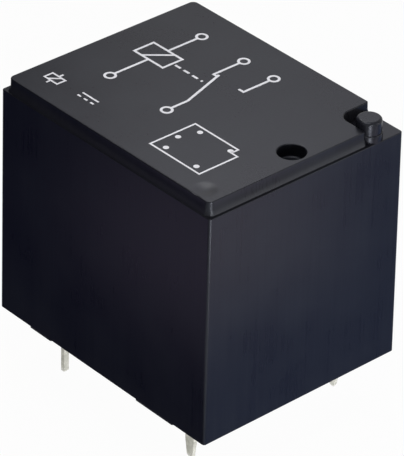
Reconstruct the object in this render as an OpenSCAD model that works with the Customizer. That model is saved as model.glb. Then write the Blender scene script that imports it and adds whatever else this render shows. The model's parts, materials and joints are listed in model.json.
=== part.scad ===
// Sealed changeover power relay for a printed circuit board.
// Millimetres, +Z up. The pin tips stand on Z = 0, the case is centred on X and Y,
// and the contact end of the case is at +X.

/* [Case] */
// Length of the case at its lower rim
case_l = 19.6; // [19.2:0.1:22]
// Width of the case at its lower rim
case_w = 15.9; // [15.5:0.1:18]
// Height of the walls, from the rim to the ledge round the top plate
case_h = 16.1; // [15.8:0.1:18]
// Thickness of the walls
case_wall = 0.8; // [0.6:0.05:1]
// Thickness of the roof below the ledge level
roof_t = 0.45; // [0.3:0.05:0.6]
// Draft of the walls, in degrees
case_draft = 0.52; // [0:0.04:1]
// Radius of the vertical edges
case_corner_r = 0.2; // [0.1:0.05:0.7]
// Radius of the edge between wall and ledge
case_edge_r = 0.14; // [0.06:0.02:0.18]

/* [Top plate] */
// Height of the raised plate above the ledge
plate_h = 0.9; // [0.5:0.1:1.2]
// Width of the ledge at the ends of the plate
ledge_end = 0.36; // [0.2:0.02:0.5]
// Width of the ledge along the sides of the plate
ledge_side = 0.24; // [0.2:0.02:0.5]
// Radius of the plate's corners
plate_corner_r = 0.4; // [0.2:0.05:0.8]
// Radius of the plate's top edge
plate_edge_r = 0.12; // [0.06:0.02:0.2]
// Diameter of the blind dimple
dimple_d = 1.8; // [1.2:0.1:2.2]
// Depth of the blind dimple
dimple_depth = 0.7; // [0.3:0.1:0.8]
// Distance of the dimple's centre from the contact end of the case
dimple_inset = 1.67; // [1.5:0.01:3]
// Diameter of the shallow ejector mark
mark_d = 1.7; // [1:0.1:2]
// Depth of the ejector mark
mark_depth = 0.06; // [0.03:0.01:0.12]
// Distance of the mark's centre from the contact end of the case
mark_end_inset = 1.5; // [1.4:0.05:3]
// Distance of the mark's centre from the side of the case
mark_side_inset = 1.35; // [1.25:0.05:3]

/* [Notch and nib] */
// Length of the corner notch in the plate
notch_l = 2.6; // [2.2:0.1:3.4]
// Width of the corner notch in the plate
notch_w = 2.75; // [2.6:0.05:3.6]
// Radius in the notch's inner corner
notch_r = 0.6; // [0.2:0.05:1]
// Diameter of the vent nib
nib_d = 1.55; // [1:0.05:1.6]
// Height of the vent nib above the ledge
nib_h = 1.42; // [1:0.02:2]
// Radius of the nib's top edge
nib_edge_r = 0.22; // [0.05:0.01:0.4]
// Distance of the nib's centre from the contact end of the case
nib_end_inset = 0.98; // [0.98:0.01:1.6]
// Distance of the nib's centre from the side of the case
nib_side_inset = 2.24; // [1.4:0.02:2.26]

/* [Pins and feet] */
// Height of the rim feet
foot_h = 0.15; // [0.1:0.05:0.3]
// Setback of the feet from the wall's faces
foot_setback = 0.04; // [0.02:0.02:0.2]
// Length of the feet at the coil end
coil_foot_l = 2.1; // [1.2:0.1:3]
// Length of the feet at the contact end
contact_foot_l = 3.5; // [1.5:0.1:4]
// Distance from the coil-end feet to the end of the case
coil_foot_inset = 2.9; // [1:0.1:4]
// Distance from the contact-end feet to the end of the case
contact_foot_inset = 2.95; // [1:0.05:4]
// Length of the pins below the feet
pin_len = 3.5; // [2.8:0.1:5]
// Distance of both rows of pins from the sides of the case
pin_inset = 1.95; // [1.8:0.05:2.1]
// Distance from the coil pins to the coil end of the case
coil_inset = 4.1; // [3.9:0.05:4.4]
// Distance from the contact pins to the contact end of the case
contact_inset = 3.3; // [3.1:0.05:3.5]
// Distance of the common pin beyond the coil pins
common_offset = 2; // [1.8:0.05:2.2]
// Width of the contact blades
blade_w = 0.8; // [0.6:0.05:1.1]
// Thickness of the terminal strip
strip_t = 0.32; // [0.25:0.01:0.4]
// Width of a blade at its tip
tip_w = 0.35; // [0.2:0.05:0.6]
// Length of a blade's tapered tip
tip_l = 1.4; // [0.5:0.1:2]
// Size of a coil pin along the case
coil_pin_l = 0.32; // [0.25:0.01:0.5]
// Size of a coil pin across the case
coil_pin_w = 0.42; // [0.3:0.01:0.6]

/* [Header and resin] */
// Depth of the resin's face above the rim
resin_recess = 0.15; // [0.05:0.05:0.3]
// Thickness of the sealing resin
resin_t = 0.6; // [0.4:0.05:0.8]
// Thickness of the header's deck
deck_t = 1.2; // [1:0.1:1.4]
// Radius of the deck's corners
deck_corner_r = 0.4; // [0.2:0.1:0.8]
// Length of the stops inside the long walls, which seat on the deck
stop_l = 1.4; // [0.8:0.1:2.4]
// Depth of the stops, from the wall inwards
stop_w = 0.4; // [0.2:0.05:0.6]
// Height of the stops
stop_h = 1.2; // [0.6:0.1:3]
// Distance between the two stops of a wall
stop_span = 5; // [3:0.5:7]
// Gap between the contact posts and the shelf of the lower contact
post_gap = 2.4; // [0.6:0.1:4]
// Width of a contact post across the case
post_w = 1.2; // [0.8:0.1:1.6]
// Thickness of the barrier between coil and contacts
barrier_t = 0.6; // [0.4:0.05:0.8]
// Drop from the pole face to the top of the barrier
barrier_drop = 1.1; // [0.6:0.1:3]
// Width of the ribs that locate the yoke
rib_w = 0.8; // [0.5:0.1:1]
// Height of the ribs that locate the yoke
rib_h = 0.9; // [0.5:0.1:1.1]

/* [Magnet] */
// Thickness of the yoke
yoke_t = 1.2; // [1:0.05:1.4]
// Width of the yoke
yoke_w = 9.6; // [8:0.1:9.7]
// Radius of the yoke's fold
yoke_bend_r = 1.5; // [1.2:0.1:2]
// Diameter of the core
core_d = 4; // [3.4:0.1:4.4]
// Diameter of the core's staked tenon
tenon_d = 3; // [2.4:0.1:3.2]
// Diameter of the pole face
pole_d = 7; // [6:0.1:8]
// Thickness of the pole face
pole_t = 0.8; // [0.6:0.05:1]
// Width of the bobbin's flanges, across the case
flange_w = 10.4; // [10:0.1:10.6]
// Radius of the flanges' corners
flange_corner_r = 1.3; // [0.5:0.1:2]
// Thickness of the bobbin's flanges
flange_t = 0.7; // [0.5:0.05:0.85]
// Wall of the bobbin's tube
tube_t = 0.5; // [0.4:0.05:0.6]
// Depth of the winding below the flanges' edges
winding_inset = 0.5; // [0.3:0.05:0.9]
// Length of a terminal lug along the case
lug_l = 1.8; // [1.2:0.1:2]
// Diameter of the winding wire's ends
lead_d = 0.2; // [0.12:0.02:0.24]
// Turns of wire on a coil pin
lead_turns = 5; // [3:1:6]

/* [Armature and spring] */
// Thickness of the armature
armature_t = 1.2; // [1:0.05:1.4]
// Width of the armature
armature_w = 9.2; // [8:0.1:10]
// Width of the armature's free end
armature_end_w = 6.4; // [5:0.1:7.5]
// Overhang of the armature beyond the core's axis
armature_reach = 4; // [3.6:0.1:4.4]
// Angle by which the released armature is lifted, in degrees
lift = 2.6; // [1.6:0.1:3]
// Residual gap between pole face and closed armature
pole_gap = 0.05; // [0.03:0.01:0.08]
// Thickness of the leaf spring
spring_t = 0.2; // [0.12:0.01:0.24]
// Width of the leaf spring at the hinge
spring_w = 5.6; // [4.8:0.1:6.4]
// Width of the window in the spring's fold
window_w = 2.2; // [1.4:0.1:2.6]
// Inner radius of the spring's fold
spring_bend_r = 0.45; // [0.35:0.05:0.6]
// Diameter of the spring's contact end
spring_end_d = 3; // [2.7:0.1:3.4]
// Diameter of the rivet shanks
rivet_d = 1; // [0.8:0.05:1.1]
// Diameter of the rivet heads
rivet_head_d = 1.7; // [1.4:0.1:1.9]
// Height of the rivet heads
rivet_head_h = 0.3; // [0.2:0.02:0.4]
// Distance between the two rivets of a pair
rivet_gap = 3; // [2.6:0.1:3.4]
// Distance from the hinge to the armature's rivets
rivet_run = 2.6; // [2.4:0.05:2.8]

/* [Contacts] */
// Diameter of the contact faces
contact_d = 2.2; // [1.8:0.1:2.5]
// Height of the contact buttons
contact_h = 0.5; // [0.4:0.02:0.6]
// Crown radius of the contact faces
crown_r = 4; // [3:0.5:8]
// Diameter of the contact shanks
shank_d = 1.2; // [1:0.05:1.4]
// Height of the closing heads behind the fixed contacts
contact_back_h = 0.25; // [0.15:0.05:0.35]
// Distance from the contact pins to the contacts' axis
contact_shift = 0.6; // [0.4:0.05:0.8]
// Width of the strip that carries a fixed contact
strip_w = 2.6; // [2.4:0.1:3]
// Overhang of a contact shelf beyond the contacts' axis
shelf_over = 1.3; // [1.2:0.05:1.6]
// Inner radius of the terminal strip's fold
strip_bend_r = 0.4; // [0.3:0.05:0.8]

/* [Clearances] */
// Gap between header and case, on each side
fit_gap = 0.05; // [0.02:0.01:0.1]
// Gap round a pin, shank or core, on each side
pin_gap = 0.03; // [0.02:0.01:0.05]
// Gap between two contact faces that meet
touch_gap = 0.03; // [0.02:0.01:0.06]
// Gap between bobbin flange and its neighbours
coil_gap = 0.3; // [0.2:0.02:0.34]
// Gap between the barrier and the contact strips
strip_gap = 0.34; // [0.2:0.02:0.5]
// Gap between the upper fixed contact and the roof
head_gap = 0.5; // [0.3:0.05:0.8]

/* [Hidden] */
$fn = 48;

// Heights, from the pin tips up
rim_z = pin_len + foot_h;
ledge_z = rim_z + case_h;
plate_z = ledge_z + plate_h;
resin_z = rim_z + resin_recess;
deck_base_z = resin_z + resin_t;
deck_z = deck_base_z + deck_t;
bobbin_z = deck_z + yoke_t;
winding_z = bobbin_z + flange_t;

// Places along the case
contact_pin_x = case_l / 2 - contact_inset;
coil_pin_x = coil_inset - case_l / 2;
common_x = coil_pin_x - common_offset;
contact_x = contact_pin_x + contact_shift;
spring_in_x = common_x + strip_t / 2 + spring_t;
yoke_in_x = spring_in_x + yoke_t;
strip_x = contact_x - strip_w / 2;
barrier_x = strip_x - strip_gap - barrier_t;
flange_x = yoke_in_x + coil_gap;
flange_l = barrier_x - coil_gap - flange_x;
core_x = flange_x + flange_l / 2;
winding_d = min(flange_l, flange_w) - 2 * winding_inset;
pin_y = case_w / 2 - pin_inset;

// Hinge line of the armature, on the outer top edge of the yoke
hinge_inset = 0.1;
hinge_x = spring_in_x + hinge_inset;
contact_arm = contact_x - hinge_x;

// Stack above the pole face, which leaves the rest of the case's height to the winding
arm_rise = pole_gap + armature_t;
nc_stack = arm_rise + spring_t + contact_h;
nc_rise = nc_stack * cos(lift) + contact_arm * sin(lift) + touch_gap;
nc_back = contact_h + strip_t + contact_back_h;
pole_z = ledge_z - roof_t - head_gap - nc_back - nc_rise;
bobbin_top_z = pole_z - pole_t;
winding_l = bobbin_top_z - flange_t - winding_z;
arm_z = pole_z + arm_rise;

// Rivets: the yoke's pair sits at mid height of the coil, the armature's pair before the pole
rivet_z = bobbin_z + winding_l / 2;
armature_rivet_x = hinge_x + rivet_run;

// Centre of the spring's fold, which touches the leg's face and the lifted arm
fold_x = spring_in_x + spring_bend_r;
fold_rise = arm_z - pole_z - spring_bend_r;
fold_z = pole_z + (fold_rise + sin(lift) * (fold_x - hinge_x)) / cos(lift);
spring_foot_z = rivet_z - rivet_head_d;

// Faces of the fixed contacts
no_face_z = arm_z - contact_h - touch_gap;
nc_face_z = pole_z + nc_rise;
no_shelf_z = no_face_z - contact_h - strip_t;
nc_shelf_z = nc_face_z + contact_h;

// Case sections, narrowed by the draft
ledge_draw = case_h * tan(case_draft);
inner_l = case_l - 2 * case_wall;
inner_w = case_w - 2 * case_wall;
inner_r = max(case_corner_r, deck_corner_r);
cavity_h = case_h - roof_t;
cavity_draw = cavity_h * tan(case_draft);
plate_l = case_l - 2 * ledge_draw - 2 * ledge_end;
plate_w = case_w - 2 * ledge_draw - 2 * ledge_side;
slab = 0.01;
lap = 0.2;
turn_lap = 0.9;
fold_steps = 10;
diagonal = cos(45);

black = "#2b2d31";
header_black = "#1d1e20";
resin_black = "#33312f";
tin = "#c9c9c0";
iron = "#8f9296";
copper = "#b0603a";
bronze = "#b98a55";
silver = "#d5d6d8";
former = "#e6e1d3";

// Rectangle with true round corners, centred
module round_rect(l, w, r) {
    square([l - 2 * r, w], center = true);
    square([l, w - 2 * r], center = true);
    for (x = [-1, 1], y = [-1, 1])
        translate([x * (l / 2 - r), y * (w / 2 - r)])
            circle(r);
}

// Thin layer of a drafted block, shrunk by draw on each side
module layer(l, w, r, draw, z) {
    translate([0, 0, z - slab])
        linear_extrude(slab)
            round_rect(l - 2 * draw, w - 2 * draw, r);
}

// Drafted block with vertical edge radius r and a rolled top edge of radius edge
module drafted_block(l, w, h, r, draw, edge) {
    hull() {
        layer(l, w, r, 0, slab);
        layer(l, w, r, draw, h - edge);
        layer(l, w, r, draw + edge * (1 - diagonal), h - edge * (1 - diagonal));
        layer(l, w, r, draw + edge, h);
    }
}

// Leans its children, drawn for the closed armature, into the released pose
module released() {
    translate([hinge_x, 0, pole_z])
        rotate([0, -lift, 0])
            translate([-hinge_x, 0, -pole_z])
                children();
}

// Prism whose outline is drawn in X and Z, centred on Y = 0
module across(width) {
    rotate([90, 0, 0])
        linear_extrude(width, center = true)
            children();
}

// Prism whose outline is drawn in Y and Z, from X = 0 towards +X
module along(length) {
    rotate([90, 0, 90])
        linear_extrude(length)
            children();
}

// Cylinder along X from x0 to x1
module bar_x(d, x0, x1) {
    translate([x0, 0, 0])
        rotate([0, 90, 0])
            cylinder(h = x1 - x0, d = d);
}

// Blade with a tapered tip, standing on the origin
module blade_outline(top) {
    polygon([
        [-tip_w / 2, 0],
        [tip_w / 2, 0],
        [blade_w / 2, tip_l],
        [blade_w / 2, top],
        [-blade_w / 2, top],
        [-blade_w / 2, tip_l]
    ]);
}

// Upright strip that folds over towards -x at its top; its outer face is on x = 0
module folded_strip(h, reach, t, r) {
    translate([-t, 0])
        square([t, h - t - r]);
    translate([-t - r, h - t - r])
        intersection() {
            difference() {
                circle(r + t);
                circle(r);
            }
            square(r + t);
        }
    translate([-reach, h - t])
        square([reach - t - r, t]);
}

// Button with a crowned face, standing on the origin
module contact_button(d, h) {
    intersection() {
        cylinder(h = h, d = d);
        translate([0, 0, h - crown_r])
            sphere(crown_r, $fn = 96);
    }
}

// Holes of the five pins, with a gap all round, from z over h
module pin_holes(z, h, gap) {
    for (y = [-1, 1]) {
        translate([coil_pin_x, y * pin_y, z + h / 2])
            cube([coil_pin_l + 2 * gap, coil_pin_w + 2 * gap, h], center = true);
        translate([contact_pin_x, y * pin_y, z + h / 2])
            cube([blade_w + 2 * gap, strip_t + 2 * gap, h], center = true);
    }
    translate([common_x, 0, z + h / 2])
        cube([strip_t + 2 * gap, blade_w + 2 * gap, h], center = true);
}

// Flat feet under the rim of both long walls
module rim_feet() {
    foot_w = case_wall - 2 * foot_setback;
    coil_x = -case_l / 2 + coil_foot_inset + coil_foot_l / 2;
    contact_end_x = case_l / 2 - contact_foot_inset - contact_foot_l / 2;
    for (y = [-1, 1])
        translate([0, y * (case_w - case_wall) / 2, pin_len + (foot_h + lap) / 2]) {
            translate([coil_x, 0, 0])
                cube([coil_foot_l, foot_w, foot_h + lap], center = true);
            translate([contact_end_x, 0, 0])
                cube([contact_foot_l, foot_w, foot_h + lap], center = true);
        }
}

// Stops inside the long walls that the header is pushed up against
module deck_stops() {
    for (x = [-1, 1], y = [-1, 1])
        translate([x * stop_span / 2, y * (inner_w - stop_w + lap) / 2, deck_z + stop_h / 2])
            cube([stop_l, stop_w + lap, stop_h], center = true);
}

// Corner cut out of the plate, with a round inner corner
module notch_outline() {
    x0 = plate_l / 2 - notch_l;
    y0 = plate_w / 2 - notch_w;
    far = notch_l + notch_w;
    translate([x0 + notch_r, y0])
        square([far, far]);
    translate([x0, y0 + notch_r])
        square([far, far]);
    translate([x0 + notch_r, y0 + notch_r])
        circle(notch_r);
}

// Vent nib with a rolled top edge
module vent_nib() {
    r = nib_d / 2;
    translate([case_l / 2 - nib_end_inset, case_w / 2 - nib_side_inset, ledge_z - lap])
        rotate_extrude() {
            square([r - nib_edge_r, nib_h + lap]);
            square([r, nib_h + lap - nib_edge_r]);
            translate([r - nib_edge_r, nib_h + lap - nib_edge_r])
                intersection() {
                    circle(nib_edge_r);
                    square(nib_edge_r);
                }
        }
}

// Raised plate with a rolled top edge and a cut-away corner
module top_plate() {
    difference() {
        translate([0, 0, ledge_z - lap])
            drafted_block(plate_l, plate_w, plate_h + lap, plate_corner_r, 0, plate_edge_r);
        translate([0, 0, ledge_z])
            linear_extrude(plate_h + lap)
                notch_outline();
    }
}

module cover() {
    color(black) {
        difference() {
            union() {
                translate([0, 0, rim_z])
                    drafted_block(case_l, case_w, case_h, case_corner_r, ledge_draw, case_edge_r);
                top_plate();
                vent_nib();
                rim_feet();
            }
            translate([0, 0, rim_z - slab])
                drafted_block(inner_l, inner_w, cavity_h + slab, inner_r, cavity_draw, case_edge_r);
            translate([case_l / 2 - dimple_inset, 0, plate_z - dimple_depth])
                cylinder(h = dimple_depth + lap, d = dimple_d);
            translate([case_l / 2 - mark_end_inset, mark_side_inset - case_w / 2, plate_z - mark_depth])
                cylinder(h = mark_depth + lap, d = mark_d);
        }
        deck_stops();
    }
}

module base() {
    color(header_black)
        difference() {
            union() {
                translate([0, 0, deck_base_z])
                    linear_extrude(deck_t)
                        round_rect(inner_l - 2 * fit_gap, inner_w - 2 * fit_gap, inner_r);
                contact_posts();
                yoke_ribs();
            }
            pin_holes(deck_base_z - lap, deck_t + 2 * lap, pin_gap);
        }
}

// Barrier between coil and contacts, with a post at each end that backs a contact strip
module contact_posts() {
    face_y = pin_y - strip_t / 2;
    post_top_z = no_shelf_z - post_gap;
    translate([barrier_x, -face_y, deck_z - lap])
        cube([barrier_t, 2 * face_y, pole_z - barrier_drop - deck_z + lap]);
    for (y = [-1, 1])
        translate([barrier_x, y > 0 ? face_y - post_w : -face_y, deck_z - lap])
            cube([strip_x + strip_w - barrier_x, post_w, post_top_z - deck_z + lap]);
}

// Low ribs on both sides of the yoke's foot
module yoke_ribs() {
    rib_x0 = coil_pin_x + lug_l / 2 + coil_gap;
    for (y = [-1, 1])
        translate([rib_x0, y * (yoke_w / 2 + fit_gap + rib_w / 2) - rib_w / 2, deck_z - lap])
            cube([barrier_x - rib_x0 + lap, rib_w, rib_h + lap]);
}

module sealing_resin() {
    color(resin_black)
        translate([0, 0, resin_z])
            difference() {
                linear_extrude(resin_t)
                    round_rect(inner_l - 2 * fit_gap, inner_w - 2 * fit_gap, inner_r);
                pin_holes(-lap, resin_t + 2 * lap, pin_gap);
            }
}

module coil_terminal(side) {
    top = winding_z + (lead_turns + 2) * lead_d;
    color(tin)
        translate([coil_pin_x, side * pin_y, top / 2])
            cube([coil_pin_l, coil_pin_w, top], center = true);
}

module coil_terminal_a() coil_terminal(-1);

module coil_terminal_b() coil_terminal(1);

module common_terminal() {
    plate_top = rivet_z + rivet_head_d;
    color(tin)
        difference() {
            translate([common_x - strip_t / 2, 0, 0])
                along(strip_t) {
                    blade_outline(deck_z + lap);
                    translate([-spring_w / 2, deck_z])
                        square([spring_w, plate_top - deck_z]);
                }
            yoke_rivet_holes();
        }
}

// Blade that widens above the deck and folds into the shelf of a fixed contact
module contact_terminal(side, shelf_z) {
    face_y = pin_y + strip_t / 2;
    color(tin)
        difference() {
            union() {
                translate([contact_pin_x, side * pin_y, 0])
                    across(strip_t)
                        blade_outline(deck_z + lap);
                mirror([0, side < 0 ? 1 : 0, 0])
                    translate([strip_x, face_y, deck_z])
                        along(strip_w)
                            folded_strip(shelf_z + strip_t - deck_z, face_y + shelf_over, strip_t, strip_bend_r);
            }
            translate([contact_x, 0, shelf_z - lap])
                cylinder(h = strip_t + 2 * lap, d = shank_d + 2 * pin_gap);
        }
}

module no_terminal() contact_terminal(-1, no_shelf_z);

module nc_terminal() contact_terminal(1, nc_shelf_z);

// Rivet button with its shank through the shelf and a closing head behind it
module fixed_contact() {
    color(silver) {
        contact_button(contact_d, contact_h);
        translate([0, 0, -strip_t - contact_back_h])
            cylinder(h = strip_t + contact_back_h + contact_h / 2, d = shank_d);
        translate([0, 0, -strip_t - contact_back_h])
            cylinder(h = contact_back_h, d = rivet_head_d);
    }
}

module no_contact()
    translate([contact_x, 0, no_shelf_z + strip_t])
        fixed_contact();

module nc_contact()
    translate([contact_x, 0, nc_shelf_z])
        mirror([0, 0, 1])
            fixed_contact();

module bobbin() {
    tube_d = core_d + 2 * pin_gap + 2 * tube_t;
    color(former)
        difference() {
            union() {
                translate([core_x, 0, bobbin_z])
                    cylinder(h = bobbin_top_z - bobbin_z, d = tube_d);
                for (z = [bobbin_z, bobbin_top_z - flange_t])
                    translate([core_x, 0, z])
                        linear_extrude(flange_t)
                            round_rect(flange_l, flange_w, flange_corner_r);
                for (y = [-1, 1])
                    terminal_lug(y);
            }
            translate([core_x, 0, bobbin_z - lap])
                cylinder(h = bobbin_top_z - bobbin_z + 2 * lap, d = core_d + 2 * pin_gap);
            pin_holes(deck_z - lap, winding_z - deck_z + 2 * lap, pin_gap);
        }
}

// Lug of the lower flange that stands on the deck and holds a coil pin
module terminal_lug(side) {
    in_y = yoke_w / 2 + fit_gap;
    arm_y = flange_w / 2 - flange_corner_r;
    out_y = pin_y + lug_l / 2;
    out_x = coil_pin_x + lug_l / 2;
    translate([coil_pin_x - lug_l / 2, side > 0 ? in_y : -out_y, deck_z])
        cube([lug_l, out_y - in_y, winding_z - deck_z]);
    translate([flange_x, side > 0 ? arm_y : -out_y, bobbin_z])
        cube([out_x - flange_x, out_y - arm_y, flange_t]);
}

module coil_winding() {
    in_r = core_d / 2 + 2 * pin_gap + tube_t;
    end_r = lead_d;
    color(copper)
        translate([core_x, 0, winding_z + pin_gap])
            rotate_extrude($fn = 96) {
                translate([in_r, 0])
                    square([winding_d / 2 - in_r - end_r, winding_l - 2 * pin_gap]);
                translate([in_r, end_r])
                    square([winding_d / 2 - in_r, winding_l - 2 * pin_gap - 2 * end_r]);
            }
}

// Wire end: turns round the coil pin and a straight run to the winding
module coil_lead(side) {
    corner = norm([coil_pin_l, coil_pin_w]) / 2 + pin_gap;
    turn_r = corner + lead_d / 2;
    pitch = lead_d * turn_lap;
    run = norm([core_x - coil_pin_x, pin_y]) - winding_d / 2 - turn_r - pin_gap;
    color(copper)
        translate([coil_pin_x, side * pin_y, winding_z + lead_d / 2 + pin_gap]) {
            for (i = [0:lead_turns - 1])
                translate([0, 0, i * pitch])
                    rotate_extrude()
                        translate([turn_r, 0])
                            circle(lead_d / 2, $fn = 16);
            rotate([0, 0, atan2(-side * pin_y, core_x - coil_pin_x)])
                translate([0, 0, pitch])
                    bar_x(lead_d, turn_r, turn_r + run);
        }
}

module coil_lead_a() coil_lead(-1);

module coil_lead_b() coil_lead(1);

module core() {
    color(iron)
        translate([core_x, 0, 0]) {
            translate([0, 0, deck_z])
                cylinder(h = yoke_t + lap, d = tenon_d);
            translate([0, 0, bobbin_z])
                cylinder(h = bobbin_top_z - bobbin_z + lap, d = core_d);
            translate([0, 0, bobbin_top_z])
                cylinder(h = pole_t, d = pole_d);
        }
}

// Fold line of the yoke: foot under the coil, leg behind it
module yoke_outline() {
    foot_l = core_x + armature_reach - spring_in_x;
    leg_h = pole_z - deck_z;
    difference() {
        union() {
            square([foot_l, yoke_t]);
            square([yoke_t, leg_h]);
        }
        difference() {
            square(yoke_bend_r);
            translate([yoke_bend_r, yoke_bend_r])
                circle(yoke_bend_r);
        }
    }
}

module yoke() {
    color(iron)
        difference() {
            translate([spring_in_x, 0, deck_z])
                across(yoke_w)
                    yoke_outline();
            translate([core_x, 0, deck_z - lap])
                cylinder(h = yoke_t + 2 * lap, d = tenon_d + 2 * pin_gap);
            yoke_rivet_holes();
        }
}

module yoke_rivet_holes() {
    for (y = [-1, 1])
        translate([0, y * rivet_gap / 2, rivet_z])
            bar_x(rivet_d + 2 * pin_gap, common_x - strip_t, yoke_in_x + lap);
}

module yoke_rivets() {
    head_x = common_x - strip_t / 2;
    color(iron)
        for (y = [-1, 1])
            translate([0, y * rivet_gap / 2, rivet_z]) {
                bar_x(rivet_d, head_x - rivet_head_h, yoke_in_x);
                bar_x(rivet_head_d, head_x - rivet_head_h, head_x);
            }
}

// Plate outline: full width over the yoke, narrowed towards the free end
module armature_outline() {
    end_x = core_x + armature_reach;
    half = armature_w / 2;
    end_half = armature_end_w / 2;
    polygon([
        [hinge_x, -half],
        [core_x, -half],
        [end_x, -end_half],
        [end_x, end_half],
        [core_x, half],
        [hinge_x, half]
    ]);
}

module armature() {
    chamfer = spring_bend_r + hinge_inset;
    color(iron)
        released()
            difference() {
                translate([0, 0, arm_z - armature_t])
                    linear_extrude(armature_t)
                        armature_outline();
                translate([hinge_x, 0, arm_z])
                    across(armature_w + lap)
                        polygon([[-lap, -chamfer - lap], [chamfer + lap, lap], [-lap, lap]]);
                armature_rivet_holes();
            }
}

module armature_rivet_holes() {
    for (y = [-1, 1])
        translate([armature_rivet_x, y * rivet_gap / 2, arm_z - armature_t - lap])
            cylinder(h = armature_t + spring_t + 2 * lap, d = rivet_d + 2 * pin_gap);
}

module armature_rivets() {
    color(iron)
        released()
            for (y = [-1, 1])
                translate([armature_rivet_x, y * rivet_gap / 2, arm_z - armature_t]) {
                    cylinder(h = armature_t + spring_t + rivet_head_h, d = rivet_d);
                    translate([0, 0, armature_t + spring_t])
                        cylinder(h = rivet_head_h, d = rivet_head_d);
                }
}

// Points on an arc about [x, z], from angle a0 to a1
function arc(x, z, r, a0, a1) =
    [for (i = [0:fold_steps]) let (a = a0 + (a1 - a0) * i / fold_steps) [x + r * cos(a), z + r * sin(a)]];

// Point on the lifted arm, run along it from the hinge and rise above it
function on_arm(run, rise) =
    [hinge_x + run * cos(lift) - rise * sin(lift), pole_z + run * sin(lift) + rise * cos(lift)];

// Side view of the spring: upright leg, fold and lifted arm
module spring_profile() {
    tip_run = contact_arm + spring_end_d / 2;
    rise = arm_z - pole_z;
    out_r = spring_bend_r + spring_t;
    polygon(concat(
        [[spring_in_x, spring_foot_z]],
        arc(fold_x, fold_z, spring_bend_r, 180, 90 + lift),
        [on_arm(tip_run, rise), on_arm(tip_run, rise + spring_t)],
        arc(fold_x, fold_z, out_r, 90 + lift, 180),
        [[spring_in_x - spring_t, spring_foot_z]]
    ));
}

// What is cut away beside the narrow end of the arm
module spring_trim_outline() {
    half = spring_w / 2 + lap;
    end_half = spring_end_d / 2;
    taper_x = core_x + armature_reach;
    difference() {
        polygon([
            [core_x, -half],
            [contact_x + 2 * end_half, -half],
            [contact_x + 2 * end_half, half],
            [core_x, half]
        ]);
        polygon([
            [core_x, -spring_w / 2],
            [taper_x, -end_half],
            [contact_x, -end_half],
            [contact_x, end_half],
            [taper_x, end_half],
            [core_x, spring_w / 2]
        ]);
        translate([contact_x, 0])
            circle(end_half);
    }
}

module contact_spring() {
    color(bronze)
        difference() {
            across(spring_w)
                spring_profile();
            released() {
                translate([0, 0, arm_z - lap])
                    linear_extrude(spring_t + 2 * lap)
                        spring_trim_outline();
                armature_rivet_holes();
                translate([contact_x, 0, arm_z - lap])
                    cylinder(h = spring_t + 2 * lap, d = shank_d + 2 * pin_gap);
            }
            yoke_rivet_holes();
            spring_window();
        }
}

// Window that leaves two straps across the fold
module spring_window() {
    sill_z = pole_z - rivet_head_d;
    end_x = armature_rivet_x - rivet_head_d;
    translate([spring_in_x - 2 * spring_t, -window_w / 2, sill_z])
        cube([end_x - spring_in_x + 2 * spring_t, window_w, arm_z + 2 * spring_t - sill_z + lap]);
}

module moving_contact() {
    color(silver)
        released()
            translate([contact_x, 0, arm_z]) {
                mirror([0, 0, 1])
                    contact_button(contact_d, contact_h);
                translate([0, 0, spring_t])
                    contact_button(contact_d, contact_h);
                translate([0, 0, -contact_h / 2])
                    cylinder(h = spring_t + contact_h, d = shank_d);
            }
}

cover();
base();
sealing_resin();
coil_terminal_a();
coil_terminal_b();
common_terminal();
no_terminal();
nc_terminal();
bobbin();
coil_winding();
coil_lead_a();
coil_lead_b();
core();
yoke();
yoke_rivets();
armature();
contact_spring();
armature_rivets();
moving_contact();
no_contact();
nc_contact();
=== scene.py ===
import itertools
import json
import math

import bmesh
import bpy
from mathutils import Matrix, Vector, noise


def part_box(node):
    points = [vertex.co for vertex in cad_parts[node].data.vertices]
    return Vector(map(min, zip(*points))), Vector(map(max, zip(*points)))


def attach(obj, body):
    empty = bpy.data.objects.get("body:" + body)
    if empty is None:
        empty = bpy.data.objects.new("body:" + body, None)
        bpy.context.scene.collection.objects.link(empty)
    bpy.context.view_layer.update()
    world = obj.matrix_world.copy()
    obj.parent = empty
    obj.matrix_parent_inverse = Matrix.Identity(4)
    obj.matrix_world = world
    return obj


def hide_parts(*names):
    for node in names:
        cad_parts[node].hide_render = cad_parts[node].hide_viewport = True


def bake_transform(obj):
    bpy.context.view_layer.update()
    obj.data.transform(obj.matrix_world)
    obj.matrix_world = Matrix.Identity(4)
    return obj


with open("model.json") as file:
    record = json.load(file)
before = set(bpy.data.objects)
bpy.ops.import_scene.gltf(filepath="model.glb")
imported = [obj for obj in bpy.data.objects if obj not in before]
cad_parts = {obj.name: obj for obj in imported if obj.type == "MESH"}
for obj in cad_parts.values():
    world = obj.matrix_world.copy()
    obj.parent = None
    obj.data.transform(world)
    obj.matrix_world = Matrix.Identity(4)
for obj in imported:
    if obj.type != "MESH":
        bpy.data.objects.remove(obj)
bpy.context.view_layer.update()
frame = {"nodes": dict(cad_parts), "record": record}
nodes = frame["nodes"]
mm = 0.001
scene = bpy.context.scene


def boxInMm(node):
    low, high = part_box(node)
    return low / mm, high / mm


print("frame loaded:", len(nodes), "nodes")

# Camera, at the angle and distance of the photograph
cameraPlan = {
    "aim": (0.443, -0.064, 11.427),  # mm
    "distance": 226.39,              # mm
    "azimuth": 47.83,
    "elevation": 32.98,
    "roll": 1.4525,
    "lens": 287.92,
    "sensor": 36.0,
    "clip": (0.01, 10.0),            # m
}


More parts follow.
